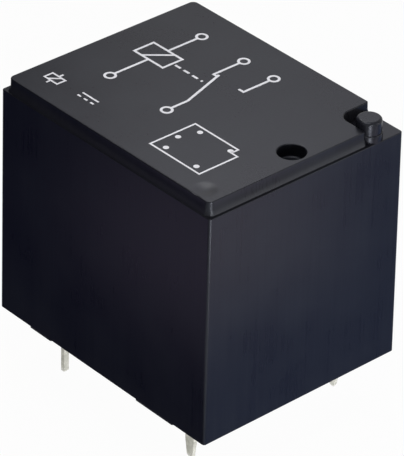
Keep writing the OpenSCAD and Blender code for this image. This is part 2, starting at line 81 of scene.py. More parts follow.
def placeCamera(plan):
    turn = math.radians(plan["azimuth"])
    tilt = math.radians(plan["elevation"])
    away = Vector((math.cos(tilt) * math.sin(turn), -math.cos(tilt) * math.cos(turn), math.sin(tilt)))
    data = bpy.data.cameras.new("photoCamera")
    data.lens = plan["lens"]
    data.sensor_width = plan["sensor"]
    data.clip_start, data.clip_end = plan["clip"]
    camera = bpy.data.objects.new("photoCamera", data)
    look = (-away).to_track_quat("-Z", "Y").to_matrix().to_4x4()
    place = Matrix.Translation((Vector(plan["aim"]) + plan["distance"] * away) * mm)
    camera.matrix_world = place @ look @ Matrix.Rotation(math.radians(plan["roll"]), 4, "Z")
    scene.collection.objects.link(camera)
    scene.camera = camera


placeCamera(cameraPlan)
print("camera placed")


# Node groups that several finishes share
def newGroup(name, inputs, outputs):
    group = bpy.data.node_groups.new(name, "ShaderNodeTree")
    for label, value in inputs:
        socket = group.interface.new_socket(label, in_out="INPUT", socket_type="NodeSocketFloat")
        socket.default_value = value
    for label in outputs:
        group.interface.new_socket(label, in_out="OUTPUT", socket_type="NodeSocketFloat")
    start = group.nodes.new("NodeGroupInput")
    end = group.nodes.new("NodeGroupOutput")
    return group, start, end


def addMath(tree, operation, a, b):
    node = tree.nodes.new("ShaderNodeMath")
    node.operation = operation
    for socket, value in zip(node.inputs, (a, b)):
        if isinstance(value, (int, float)):
            socket.default_value = value
        else:
            tree.links.new(value, socket)
    return node.outputs[0]


# Detail and roughness of each noise, and how far lines and streaks are drawn out along the height
noisePlan = {
    "grain": (3.0, 0.6), "cloud": (2.0, 0.5), "lines": (1.0, 0.5), "lineDraw": 0.02,
    "streak": (3.0, 0.6), "blotch": (3.0, 0.5), "streakDraw": 0.06,
}


def addNoise(tree, vector, scale, detail, rough):
    node = tree.nodes.new("ShaderNodeTexNoise")
    node.inputs["Detail"].default_value = detail
    node.inputs["Roughness"].default_value = rough
    tree.links.new(vector, node.inputs["Vector"])
    tree.links.new(scale, node.inputs["Scale"])
    return node.outputs[0]


def addStretch(tree, place, draw):
    stretch = tree.nodes.new("ShaderNodeMapping")
    stretch.inputs["Scale"].default_value = (1.0, 1.0, draw)
    tree.links.new(place, stretch.inputs["Vector"])
    return stretch.outputs[0]


# Moulded surface: fine grain, broad cloudy patches and faint lines along the draw
def buildMouldGrain():
    group, start, end = newGroup(
        "mouldGrain",
        [("Grain Scale", 9000.0), ("Cloud Scale", 260.0), ("Draw Scale", 900.0)],
        ["Grain", "Cloud", "Draw Lines"],
    )
    place = group.nodes.new("ShaderNodeTexCoord").outputs["Object"]
    drawn = addStretch(group, place, noisePlan["lineDraw"])
    grain = addNoise(group, place, start.outputs["Grain Scale"], *noisePlan["grain"])
    cloud = addNoise(group, place, start.outputs["Cloud Scale"], *noisePlan["cloud"])
    lines = addNoise(group, drawn, start.outputs["Draw Scale"], *noisePlan["lines"])
    group.links.new(grain, end.inputs["Grain"])
    group.links.new(cloud, end.inputs["Cloud"])
    group.links.new(lines, end.inputs["Draw Lines"])
    return group


# Rolled or plated metal: long fine streaks and soft blotches
def buildMetalStreak():
    group, start, end = newGroup(
        "metalStreak",
        [("Streak Scale", 14000.0), ("Blotch Scale", 1500.0)],
        ["Streak", "Blotch"],
    )
    place = group.nodes.new("ShaderNodeTexCoord").outputs["Object"]
    drawn = addStretch(group, place, noisePlan["streakDraw"])
    streak = addNoise(group, drawn, start.outputs["Streak Scale"], *noisePlan["streak"])
    blotch = addNoise(group, place, start.outputs["Blotch Scale"], *noisePlan["blotch"])
    group.links.new(streak, end.inputs["Streak"])
    group.links.new(blotch, end.inputs["Blotch"])
    return group


mouldGrain = buildMouldGrain()
metalStreak = buildMetalStreak()


def newMaterial(name, roughness, metallic=0.0, specular=0.5, tint=(1.0, 1.0, 1.0)):
    material = bpy.data.materials.new(name)
    material.use_nodes = True
    tree = material.node_tree
    shader = tree.nodes["Principled BSDF"]
    shader.inputs["Roughness"].default_value = roughness
    shader.inputs["Metallic"].default_value = metallic
    shader.inputs["Specular IOR Level"].default_value = specular
    shader.inputs["Specular Tint"].default_value = (*tint, 1.0)
    return material, tree, shader


def addGroup(tree, group, **values):
    node = tree.nodes.new("ShaderNodeGroup")
    node.node_tree = group
    for label, value in values.items():
        node.inputs[label.replace("_", " ")].default_value = value
    return node


toneShare = {"cloud": 0.65, "lines": 0.35}   # parts of a moulded surface's tone
toneSpan = (0.3, 0.7)                         # tones that show a finish's dark and light colour
roughSpan = (0.25, 0.75)                      # tones that show its two roughnesses


def addRamp(tree, factor, dark, light, span=(0.0, 1.0)):
    ramp = tree.nodes.new("ShaderNodeValToRGB")
    for element, position, colour in zip(ramp.color_ramp.elements, span, (dark, light)):
        element.position = position
        element.color = (*colour, 1.0)
    tree.links.new(factor, ramp.inputs["Fac"])
    return ramp.outputs["Color"]


def addRange(tree, value, low, high):
    node = tree.nodes.new("ShaderNodeMapRange")
    node.inputs["From Min"].default_value = roughSpan[0]
    node.inputs["From Max"].default_value = roughSpan[1]
    node.inputs["To Min"].default_value = low
    node.inputs["To Max"].default_value = high
    tree.links.new(value, node.inputs["Value"])
    return node.outputs[0]


def addBump(tree, shader, height, strength, distance):
    bump = tree.nodes.new("ShaderNodeBump")
    bump.inputs["Strength"].default_value = strength
    bump.inputs["Distance"].default_value = distance * mm
    tree.links.new(height, bump.inputs["Height"])
    tree.links.new(bump.outputs["Normal"], shader.inputs["Normal"])


def mouldedPlastic(name, look):
    material, tree, shader = newMaterial(
        name, look["roughness"][0], specular=look["specular"], tint=look.get("sheen", (1.0, 1.0, 1.0))
    )
    grain = addGroup(
        tree, mouldGrain, Grain_Scale=look["grain"], Cloud_Scale=look["cloud"], Draw_Scale=look["draw"]
    )
    cloud = addMath(tree, "MULTIPLY", grain.outputs["Cloud"], toneShare["cloud"])
    lines = addMath(tree, "MULTIPLY", grain.outputs["Draw Lines"], toneShare["lines"])
    tone = addMath(tree, "ADD", cloud, lines)
    colour = addRamp(tree, tone, look["dark"], look["light"], toneSpan)
    rough = addRange(tree, tone, *look["roughness"])
    if "paintedEdgeHighlight" in look:
        # Vertex mask of the case: red for the painted highlight on the upright edges, green for the polished
        # nib
        mask = tree.nodes.new("ShaderNodeAttribute")
        mask.attribute_name = "paintedHighlightAndNibMask"
        parts = tree.nodes.new("ShaderNodeSeparateColor")
        tree.links.new(mask.outputs["Color"], parts.inputs[0])
        mix = tree.nodes.new("ShaderNodeMix")
        mix.data_type = "RGBA"
        mix.inputs["B"].default_value = (*look["paintedEdgeHighlight"], 1.0)
        tree.links.new(parts.outputs["Red"], mix.inputs["Factor"])
        tree.links.new(colour, mix.inputs["A"])
        colour = mix.outputs["Result"]
        shine = addMath(tree, "MULTIPLY", parts.outputs["Green"], look["polish"])
        rough = addMath(tree, "SUBTRACT", rough, shine)
    tree.links.new(colour, shader.inputs["Base Color"])
    tree.links.new(rough, shader.inputs["Roughness"])
    addBump(tree, shader, grain.outputs["Grain"], look["bump"], look["relief"])
    return material


def metalFinish(name, look):
    material, tree, shader = newMaterial(name, look["roughness"][0], metallic=look.get("metallic", 1.0))
    streak = addGroup(tree, metalStreak, Streak_Scale=look["streak"], Blotch_Scale=look["blotch"])
    blotch = streak.outputs["Blotch"]
    tree.links.new(addRamp(tree, blotch, look["dark"], look["light"], toneSpan), shader.inputs["Base Color"])
    tree.links.new(addRange(tree, blotch, *look["roughness"]), shader.inputs["Roughness"])
    addBump(tree, shader, streak.outputs["Streak"], look["bump"], look["relief"])
    if "coat" in look:
        # Weight and roughness of a clear lacquer
        for label, value in zip(("Coat Weight", "Coat Roughness"), look["coat"]):
            shader.inputs[label].default_value = value
    return material


plasticLooks = {
    "casePlastic": {
        "dark": (0.0050, 0.0044, 0.0070), "light": (0.0110, 0.0120, 0.0156), "roughness": (0.25, 0.34),
        # The edge colour on the next line is a painted highlight: a lighter colour laid on the upright edges
        "specular": 0.16, "sheen": (0.86, 0.9, 1.0), "paintedEdgeHighlight": (0.02, 0.022, 0.028), "polish": 0.03,
        "grain": 9000.0, "cloud": 260.0, "draw": 5200.0, "bump": 0.25, "relief": 0.012,
    },
    "headerPlastic": {
        "dark": (0.014, 0.014, 0.015), "light": (0.022, 0.022, 0.024), "roughness": (0.5, 0.6),
        "specular": 0.3, "grain": 7000.0, "cloud": 300.0, "draw": 900.0, "bump": 0.25, "relief": 0.012,
    },
    "castResin": {
        "dark": (0.010, 0.0095, 0.009), "light": (0.020, 0.019, 0.018), "roughness": (0.16, 0.3),
        "specular": 0.5, "grain": 2500.0, "cloud": 500.0, "draw": 400.0, "bump": 0.08, "relief": 0.02,
    },
    "formerPlastic": {
        "dark": (0.66, 0.60, 0.48), "light": (0.78, 0.73, 0.62), "roughness": (0.42, 0.52),
        "specular": 0.4, "grain": 7000.0, "cloud": 300.0, "draw": 700.0, "bump": 0.2, "relief": 0.012,
    },
    "printInk": {
        "dark": (0.80, 0.80, 0.84), "light": (0.93, 0.93, 0.98), "roughness": (0.5, 0.6),
        "specular": 0.3, "grain": 16000.0, "cloud": 2600.0, "draw": 900.0, "bump": 0.25, "relief": 0.006,
    },
}
metalLooks = {
    "tinPlate": {
        "dark": (0.64, 0.64, 0.57), "light": (0.94, 0.93, 0.85), "roughness": (0.26, 0.42), "metallic": 0.55,
        "streak": 9000.0, "blotch": 2600.0, "bump": 0.25, "relief": 0.01,
    },
    "platedIron": {
        "dark": (0.42, 0.43, 0.45), "light": (0.56, 0.57, 0.59), "roughness": (0.28, 0.40),
        "streak": 6000.0, "blotch": 900.0, "bump": 0.15, "relief": 0.01,
    },
    "springBronze": {
        "dark": (0.52, 0.30, 0.14), "light": (0.66, 0.42, 0.21), "roughness": (0.22, 0.34),
        "streak": 8000.0, "blotch": 700.0, "bump": 0.12, "relief": 0.01,
    },
    "contactSilver": {
        "dark": (0.78, 0.77, 0.75), "light": (0.88, 0.87, 0.85), "roughness": (0.16, 0.28),
        "streak": 6000.0, "blotch": 1500.0, "bump": 0.08, "relief": 0.008,
    },
    "enamelWire": {
        "dark": (0.42, 0.13, 0.045), "light": (0.60, 0.22, 0.08), "roughness": (0.18, 0.30),
        "coat": (0.6, 0.12), "streak": 5000.0, "blotch": 900.0, "bump": 0.08, "relief": 0.008,
    },
}
finishes = {name: mouldedPlastic(name, look) for name, look in plasticLooks.items()}
finishes.update({name: metalFinish(name, look) for name, look in metalLooks.items()})
print("finishes:", len(finishes))


# Outlines and loops
leastBend = 0.002   # mm, smallest radius of an outline's corner


def filletLoop(corners, inset=0.0, steps=8):
    # Closed outline, counter-clockwise, from square corners (x, y, radius), pulled in by inset
    points = []
    count = len(corners)
    for i, (x, y, radius) in enumerate(corners):
        here = Vector((x, y))
        into = (here - Vector(corners[i - 1][:2])).normalized()
        out = (Vector(corners[(i + 1) % count][:2]) - here).normalized()
        side = 1.0 if into.x * out.y - into.y * out.x > 0.0 else -1.0
        leftIn = Vector((-into.y, into.x))
        leftOut = Vector((-out.y, out.x))
        bend = max(radius - side * inset, leastBend)
        centre = here + (inset + side * bend) * (leftIn + leftOut)
        first = math.atan2(-side * leftIn.y, -side * leftIn.x)
        for k in range(steps + 1):
            angle = first + side * 0.5 * math.pi * k / steps
            points.append((centre.x + bend * math.cos(angle), centre.y + bend * math.sin(angle)))
    return points


def rectCorners(length, width, radius, x=0.0, y=0.0):
    halfX, halfY = length / 2, width / 2
    signs = ((-1, -1), (1, -1), (1, 1), (-1, 1))
    return [(x + signX * halfX, y + signY * halfY, radius) for signX, signY in signs]


def circleLoop(x, y, radius, steps=64):
    turn = 2 * math.pi / steps
    return [(x + radius * math.cos(k * turn), y + radius * math.sin(k * turn)) for k in range(steps)]


def quarterRoll(radius, steps=6):
    # Inset and rise of a rolled edge, from its wall to its flat
    turns = [0.5 * math.pi * k / steps for k in range(steps + 1)]
    return [(radius * (1.0 - math.cos(a)), radius * math.sin(a)) for a in turns]


def addLoop(bm, points, z):
    return [bm.verts.new((x, y, z)) for x, y in points]


def bridge(bm, low, high):
    count = len(low)
    for i in range(count):
        j = (i + 1) % count
        bm.faces.new((low[i], low[j], high[j], high[i]))


def climb(bm, loops):
    for low, high in zip(loops, loops[1:]):
        bridge(bm, low, high)


def loopEdges(bm, loop):
    found = []
    for a, b in zip(loop, loop[1:] + loop[:1]):
        found.append(bm.edges.get((a, b)) or bm.edges.new((a, b)))
    return found


def fillFlat(bm, *loops):
    edges = [edge for loop in loops for edge in loopEdges(bm, loop)]
    bmesh.ops.triangle_fill(bm, use_beauty=True, use_dissolve=False, edges=edges)


def meshObject(bm, name):
    bmesh.ops.recalc_face_normals(bm, faces=bm.faces)
    mesh = bpy.data.meshes.new(name)
    bm.to_mesh(mesh)
    bm.free()
    piece = bpy.data.objects.new(name, mesh)
    scene.collection.objects.link(piece)
    return piece


def joinSolids(piece, others):
    # Exact union of closed solids, in millimetres
    for other in others:
        modifier = piece.modifiers.new("join", "BOOLEAN")
        modifier.solver = "EXACT"
        modifier.operation = "UNION"
        modifier.object = other
    shown = piece.evaluated_get(bpy.context.evaluated_depsgraph_get())
    mesh = bpy.data.meshes.new_from_object(shown)
    piece.modifiers.clear()
    old = piece.data
    piece.data = mesh
    bpy.data.meshes.remove(old)
    for other in others:
        data = other.data
        bpy.data.objects.remove(other)
        bpy.data.meshes.remove(data)


def dress(piece, finish, body, sharp=32.0, replaced=()):
    # From mm to m, smooth shading with crisp creases, a finish, and the body that it moves with
    mesh = piece.data
    mesh.transform(Matrix.Scale(mm, 4))
    for face in mesh.polygons:
        face.use_smooth = True
    mesh.set_sharp_from_angle(angle=math.radians(sharp))
    mesh.materials.clear()
    mesh.materials.append(finishes[finish])
    weighted = piece.modifiers.new("evenNormals", "WEIGHTED_NORMAL")
    weighted.keep_sharp = True
    weighted.weight = 80
    if body:
        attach(piece, body)
    if replaced:
        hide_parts(*replaced)


# Cover: case walls, ledge, raised plate with its notch, nib, dimple, ejector mark and feet
coverShape = {
    "footHeight": 0.15, "footSetback": 0.04, "footRadius": 0.12, "footRoll": 0.03,
    "feet": ((-5.85, 2.1), (5.1, 3.5)),   # centre along X, length
    "wall": 0.8, "wallHeight": 16.1, "draft": 0.52, "cornerRadius": 0.2, "innerRadius": 0.4,
    "rimRoll": 0.03, "ledgeRoll": 0.05, "roof": 0.45,
    "ledgeEnd": 0.36, "ledgeSide": 0.24, "plateHeight": 0.9, "plateRadius": 0.4, "plateRoll": 0.06,
    "plateLean": 0.015, "shoulder": (0.155, 0.36),
    "notchLength": 2.45, "notchWidth": 2.6, "notchRadius": 0.85, "notchEdge": 0.16, "notchFoot": 0.016,
    "nibInset": (1.02, 2.21), "nibDiameter": 1.72, "nibRoll": 0.2, "nibStep": 0.06, "nibStepHeight": 0.5,
    "nibSunk": 0.2,
    "dimpleInset": 1.67, "dimpleDiameter": 1.8, "dimpleDepth": 0.9, "dimpleLip": 0.07, "dimpleFillet": 0.14,
    "markInset": (1.83, 1.27), "markDiameter": 1.8, "markDepth": 0.06,
    "stopSize": (1.4, 0.4, 1.2), "stopSpan": 5.0, "stopSunk": 0.2, "stopRadius": 0.05,
}


def coverLevels(shape):
    low, high = boxInMm("cover")
    rim = low.z + shape["footHeight"]
    ledge = rim + shape["wallHeight"]
    return {
        "length": high.x - low.x, "width": high.y - low.y, "foot": low.z, "rim": rim, "ledge": ledge,
        "plate": ledge + shape["plateHeight"], "nibTop": high.z,
        "draw": shape["wallHeight"] * math.tan(math.radians(shape["draft"])),
    }


levels = coverLevels(coverShape)


def plateCorners(shape, grow=0.0):
    # The plate's outline, its outer sides moved out by grow and the notch left where it is
    halfX = levels["length"] / 2 - levels["draw"] - shape["ledgeEnd"]
    halfY = levels["width"] / 2 - levels["draw"] - shape["ledgeSide"]
    notchX = halfX - shape["notchLength"]
    notchY = halfY - shape["notchWidth"]
    halfX, halfY = halfX + grow, halfY + grow
    r, edge = shape["plateRadius"] + grow, shape["notchEdge"]
    return [
        (-halfX, -halfY, r), (halfX, -halfY, r), (halfX, notchY, edge),
        (notchX, notchY, shape["notchRadius"]), (notchX, halfY, edge), (-halfX, halfY, r),
    ]


flatMargin = 0.02   # mm of flat beside each rolled edge, so that the flat faces shade flat


def closeFan(bm, loop, x, y, z):
    centre = bm.verts.new((x, y, z))
    for a, b in zip(loop, loop[1:] + loop[:1]):
        bm.faces.new((a, b, centre))


def addDish(bm, x, y, radius, top, depth, lip, fillet, steps=5):
    turns = [0.5 * math.pi * k / steps for k in range(steps + 1)]
    rings = [(radius + lip + flatMargin, top)]
    rings += [(radius + lip * (1.0 - math.sin(a)), top - lip * (1.0 - math.cos(a))) for a in turns]
    floor = top - depth
    rings += [(radius - fillet * (1.0 - math.cos(a)), floor + fillet * (1.0 - math.sin(a))) for a in turns]
    loops = [addLoop(bm, circleLoop(x, y, r), z) for r, z in rings]
    climb(bm, loops)
    closeFan(bm, loops[-1], x, y, floor)
    return loops[0]


def addHollow(bm, x, y, radius, top, depth, steps=12, sides=48):
    # Soft shallow dish that runs out into the face round it
    loops = []
    for k in range(steps):
        share = 1.0 - k / steps
        z = top - depth * (1.0 - share ** 2) ** 2
        loops.append(addLoop(bm, circleLoop(x, y, radius * share, sides), z))
    climb(bm, loops)
    closeFan(bm, loops[-1], x, y, top - depth)
    return loops[0]


def addRolledTop(bm, corners, roll, top):
    # Loops over a rolled top edge, and one more on the flat beside it
    rings = [(inset, top - roll + rise) for inset, rise in quarterRoll(roll)]
    rings.append((roll + flatMargin, top))
    return [addLoop(bm, filletLoop(corners, inset), z) for inset, z in rings]


def addFoot(bm, shape, x, y, length, width):
    corners = rectCorners(length, width, shape["footRadius"], x, y)
    roll = shape["footRoll"]
    rolled = [(inset, levels["foot"] + roll - rise) for inset, rise in quarterRoll(roll, 3)]
    loops = [addLoop(bm, filletLoop(corners, 0.0, 4), levels["rim"])]
    loops += [addLoop(bm, filletLoop(corners, inset, 4), z) for inset, z in rolled]
    climb(bm, loops)
    bm.faces.new(loops[-1])
    return loops[0]


def buildCaseBody(shape):
    bm = bmesh.new()
    length, width, draw = levels["length"], levels["width"], levels["draw"]
    rim, ledge, plate = levels["rim"], levels["ledge"], levels["plate"]
    lower = rectCorners(length, width, shape["cornerRadius"])
    upper = rectCorners(length - 2 * draw, width - 2 * draw, shape["cornerRadius"])
    # Outer wall, from the rim to the ledge
    roll = shape["rimRoll"]
    turned = reversed(quarterRoll(roll, 3))
    loops = [addLoop(bm, filletLoop(lower, inset), rim + roll - rise) for inset, rise in turned]
    loops += addRolledTop(bm, upper, shape["ledgeRoll"], ledge)
    climb(bm, loops)
    rimLoop, ledgeLoop = loops[0], loops[-1]
    # Plate wall on its shoulder, plain inside the notch, and its rolled top edge
    corners = plateCorners(shape)
    wide, tall = shape["shoulder"]
    foot = shape["notchFoot"]
    shoulder = plateCorners(shape, wide - foot)
    loops = [addLoop(bm, filletLoop(shoulder, -foot - flatMargin / 2), ledge)]
    loops.append(addLoop(bm, filletLoop(shoulder, -foot), ledge))
    loops.append(addLoop(bm, filletLoop(corners, -shape["plateLean"]), ledge + tall))
    loops += addRolledTop(bm, corners, shape["plateRoll"], plate)
    climb(bm, loops)
    fillFlat(bm, ledgeLoop, loops[0])
    # Top face with the dimple and the ejector mark
    dimple = addDish(
        bm, length / 2 - shape["dimpleInset"], 0.0, shape["dimpleDiameter"] / 2, plate,
        shape["dimpleDepth"], shape["dimpleLip"], shape["dimpleFillet"],
    )
    markEnd, markSide = shape["markInset"]
    mark = addHollow(
        bm, length / 2 - markEnd, markSide - width / 2, shape["markDiameter"] / 2, plate, shape["markDepth"]
    )
    fillFlat(bm, loops[-1], dimple, mark)
    # Cavity and the rim with its four feet
    inner = rectCorners(length - 2 * shape["wall"], width - 2 * shape["wall"], shape["innerRadius"])
    ceiling = ledge - shape["roof"]
    innerLow = addLoop(bm, filletLoop(inner), rim)
    innerHigh = addLoop(bm, filletLoop(inner, draw), ceiling)
    bridge(bm, innerHigh, innerLow)
    fillFlat(bm, innerHigh)
    footWidth = shape["wall"] - 2 * shape["footSetback"]
    footY = (width - shape["wall"]) / 2
    feet = []
    for x, size in shape["feet"]:
        for side in (-1, 1):
            feet.append(addFoot(bm, shape, x, side * footY, size, footWidth))
    fillFlat(bm, rimLoop, innerLow, *feet)
    return meshObject(bm, "cover_shell")


def nibCentre(shape):
    end, side = shape["nibInset"]
    return levels["length"] / 2 - end, levels["width"] / 2 - side


def buildNib(shape):
    bm = bmesh.new()
    x, y = nibCentre(shape)
    radius, step = shape["nibDiameter"] / 2, shape["nibStep"]
    stepZ = levels["ledge"] + shape["nibStepHeight"]
    rings = [(radius, levels["ledge"] - shape["nibSunk"])]
    rings += [(radius - inset, stepZ - step + rise) for inset, rise in quarterRoll(step, 4)]
    roll = shape["nibRoll"]
    top = levels["nibTop"]
    rings += [(radius - step - inset, top - roll + rise) for inset, rise in quarterRoll(roll, 8)]
    loops = [addLoop(bm, circleLoop(x, y, r), z) for r, z in rings]
    climb(bm, loops)
    bm.faces.new(loops[-1])
    bm.faces.new(loops[0])
    return meshObject(bm, "nib")


def buildStop(shape, x, side):
    # Block inside a long wall, its foot on the header's deck and its back sunk into the wall
    long, deep, tall = shape["stopSize"]
    sunk = shape["stopSunk"]
    inner = levels["width"] / 2 - shape["wall"]
    corners = rectCorners(long, deep + sunk, shape["stopRadius"], x, side * (inner - (deep - sunk) / 2))
    deck = boxInMm("yoke")[0].z
    bm = bmesh.new()
    loops = [addLoop(bm, filletLoop(corners, 0.0, 3), z) for z in (deck, deck + tall)]
    climb(bm, loops)
    bm.faces.new(loops[-1])
    bm.faces.new(loops[0])
    return meshObject(bm, "stop")


maskPlan = {"steepest": 0.4, "nibReach": 0.51}   # normal's Z on an upright wall, share of the nib's diameter


def maskCase(piece, shape, plan):
    # Vertex mask for the finish: red for a painted highlight on the upright outer edges, green on the nib
    mesh = piece.data
    mask = mesh.attributes.new("paintedHighlightAndNibMask", "FLOAT_COLOR", "POINT")
    nibX, nibY = nibCentre(shape)
    reach = plan["nibReach"] * shape["nibDiameter"]
    halfX, halfY = levels["length"] / 2 - shape["wall"], levels["width"] / 2 - shape["wall"]
    for vertex, entry in zip(mesh.vertices, mask.data):
        place, turn = vertex.co, vertex.normal
        upright = abs(turn.z) < plan["steepest"] and abs(place.x) > halfX and abs(place.y) > halfY
        raised = place.z > levels["ledge"] + flatMargin / 2
        nib = raised and math.hypot(place.x - nibX, place.y - nibY) < reach
        # The red share is a painted highlight, strongest where an edge faces halfway between two sides
        edge = min(abs(turn.x), abs(turn.y)) * math.sqrt(2.0) if upright and not nib else 0.0
        entry.color = (edge, 1.0 if nib else 0.0, 0.0, 1.0)


cover = buildCaseBody(coverShape)
extras = [buildNib(coverShape)]
extras += [buildStop(coverShape, x * coverShape["stopSpan"] / 2, y) for x in (-1, 1) for y in (-1, 1)]
joinSolids(cover, extras)
maskCase(cover, coverShape, maskPlan)
dress(cover, "casePlastic", "relay", replaced=["cover"])
print("cover:", len(cover.data.polygons), "faces")

# Print on the plate: a generic wiring diagram, the coil sign and a plan of the pins
printPlan = {
    "proud": 0.008, "tier": 0.003, "tiers": 4, "sunk": 0.004,
    "line": 0.17, "thin": 0.13, "ring": 0.34, "dot": 0.19,
    "coil": (-5.5, 1.3), "coilSize": (2.7, 1.6), "pinRows": (4.9, -2.6),
    "link": (-3.9, -1.35, 0.5, 0.3),   # from X, to X, dash, gap
    "common": -0.2, "pivot": -0.9, "throw": 1.1, "tip": 2.6,
    "contact": (1.25, 0.4, 0.2),       # span and hook as shares of the throw, drop below the tip
    "sign": (-7.36, -5.45), "signSize": (1.2, 0.66), "signLead": 0.36,
    "current": (-5.0, -5.4, 1.5, 0.2),   # X, Y, length, half the gap between the two lines
    "plan": (4.3, -4.1), "planScale": 0.225,
}


def addPrism(bm, low, high, lowZ, highZ):
    # Flat stroke between two rows of points, closed all round
    rows = [[bm.verts.new((x, y, z)) for x, y in side] for side in (low, high) for z in (lowZ, highZ)]
    a, b, c, d = rows
    for i in range(len(a) - 1):
        bm.faces.new((b[i], b[i + 1], d[i + 1], d[i]))
        bm.faces.new((a[i], c[i], c[i + 1], a[i + 1]))
        bm.faces.new((a[i], a[i + 1], b[i + 1], b[i]))
        bm.faces.new((c[i], d[i], d[i + 1], c[i + 1]))
    for i in (0, -1):
        bm.faces.new((a[i], b[i], d[i], c[i]))


def addStroke(bm, points, width, lowZ, highZ, closed=False):
    places = [Vector(p) for p in points]
    if closed:
        places = places + places[:1]
    left, right = [], []
    for i, here in enumerate(places):
        into = (here - places[i - 1]).normalized() if i else None
        out = (places[i + 1] - here).normalized() if i < len(places) - 1 else None
        if closed and i in (0, len(places) - 1):
            into = (places[0] - places[-2]).normalized()
            out = (places[1] - places[0]).normalized()
        into = into or out
        out = out or into
        side = Vector((-into.y - out.y, into.x + out.x)).normalized()
        reach = 0.5 * width / side.dot(Vector((-into.y, into.x)))
        left.append(here + reach * side)
        right.append(here - reach * side)
    addPrism(bm, left, right, lowZ, highZ)


def pinPlaces():
    # Name, X and Y (mm) of each pin in the record
    mounts = [(mount["name"], mount["pos_m"]) for mount in frame["record"]["mounts"]]
    return [(name, place[0] / mm, place[1] / mm) for name, place in mounts if "_pin" in name]


def buildPrint(plan):
    bm = bmesh.new()
    lowZ = levels["plate"] - plan["sunk"]
    highZ = levels["plate"] + plan["proud"]
    line = plan["line"]
    tiers = itertools.cycle(range(plan["tiers"]))

    def stroke(points, closed=False, width=line):
        # Strokes that cross lie at slightly different heights
        addStroke(bm, points, width, lowZ, highZ + plan["tier"] * next(tiers), closed)

    def ring(x, y):
        stroke(circleLoop(x, y, plan["ring"], 24), True)

    def dot(x, y):
        loops = [addLoop(bm, circleLoop(x, y, plan["dot"], 20), z) for z in (lowZ, highZ)]
        bridge(bm, *loops)
        for loop in loops:
            bm.faces.new(loop)

    def coilSign(x, y, size, width):
        stroke([corner[:2] for corner in rectCorners(*size, 0.0, x, y)], True, width)
        stroke([(x - size[0] / 4, y - size[1] / 2), (x + size[0] / 4, y + size[1] / 2)], False, width)

    # Coil with its two pins
    coilX, coilY = plan["coil"]
    high, low = plan["pinRows"]
    half = plan["coilSize"][1] / 2
    coilSign(coilX, coilY, plan["coilSize"], line)
    stroke([(coilX, coilY + half), (coilX, high - plan["ring"])])
    stroke([(coilX, coilY - half), (coilX, low + plan["ring"])])
    ring(coilX, high)
    ring(coilX, low)
    # Dashed link from the coil to the contact arm
    x, stop, dash, gap = plan["link"]
    while x < stop:
        stroke([(x, coilY), (min(x + dash, stop), coilY)])
        x += dash + gap
    # Changeover contact: common pin, leaning arm, one contact on each side
    common, pivot, throw, tip = plan["common"], plan["pivot"], plan["throw"], plan["tip"]
    ring(common, low)
    stroke([(common, low + plan["ring"]), (common, pivot), (common - throw, tip)])
    span, hook, drop = plan["contact"]
    for side in (-1, 1):
        x = common + side * span * throw
        ring(x, high)
        stroke([(x, high - plan["ring"]), (x, tip - drop), (x - side * hook * throw, tip - drop)])
    # Coil sign and direct-current sign in the last row
    signX, signY = plan["sign"]
    lead = plan["signLead"]
    reach = plan["signSize"][1] / 2
    coilSign(signX, signY, plan["signSize"], plan["thin"])
    for side in (-1, 1):
        stroke([(signX, signY + side * reach), (signX, signY + side * (reach + lead))], False, plan["thin"])
    x, y, length, gap = plan["current"]
    stroke([(x, y + gap), (x + length, y + gap)], False, plan["thin"])
    dash = length / 5
    for k in (0, 2, 4):
        stroke([(x + k * dash, y - gap), (x + (k + 1) * dash, y - gap)], False, plan["thin"])
    # Plan of the pins, with the notched corner of the case
    planX, planY = plan["plan"]
    scale = plan["planScale"]
    farX, farY = scale * levels["length"] / 2, scale * levels["width"] / 2
    cut = scale * coverShape["notchLength"]
    cutX, cutY = farX - cut, farY - cut
    outline = [(-farX, -farY), (farX, -farY), (farX, cutY), (cutX, cutY), (cutX, farY), (-farX, farY)]
    stroke([(planX + x, planY + y) for x, y in outline], True, plan["thin"])
    for _, x, y in pinPlaces():
        dot(planX + scale * x, planY + scale * y)
    return meshObject(bm, "plate_print")


platePrint = buildPrint(printPlan)
dress(platePrint, "printInk", "relay")
print("print:", len(platePrint.data.polygons), "faces")

# Cast resin in the open underside, drawn up the walls and the pins
resinShape = {
    "step": 0.16, "rise": 0.13, "reach": 0.24, "wave": 0.012, "waveScale": 0.35, "corner": 0.4,
    # half size of each pin where it leaves the resin
    "pinHalves": {"coil": (0.16, 0.21), "common": (0.16, 0.4), "no": (0.4, 0.16), "nc": (0.4, 0.16)},
}


def pinGap(x, y, pin):
    pinX, pinY, halfX, halfY = pin
    return math.hypot(max(abs(x - pinX) - halfX, 0.0), max(abs(y - pinY) - halfY, 0.0))


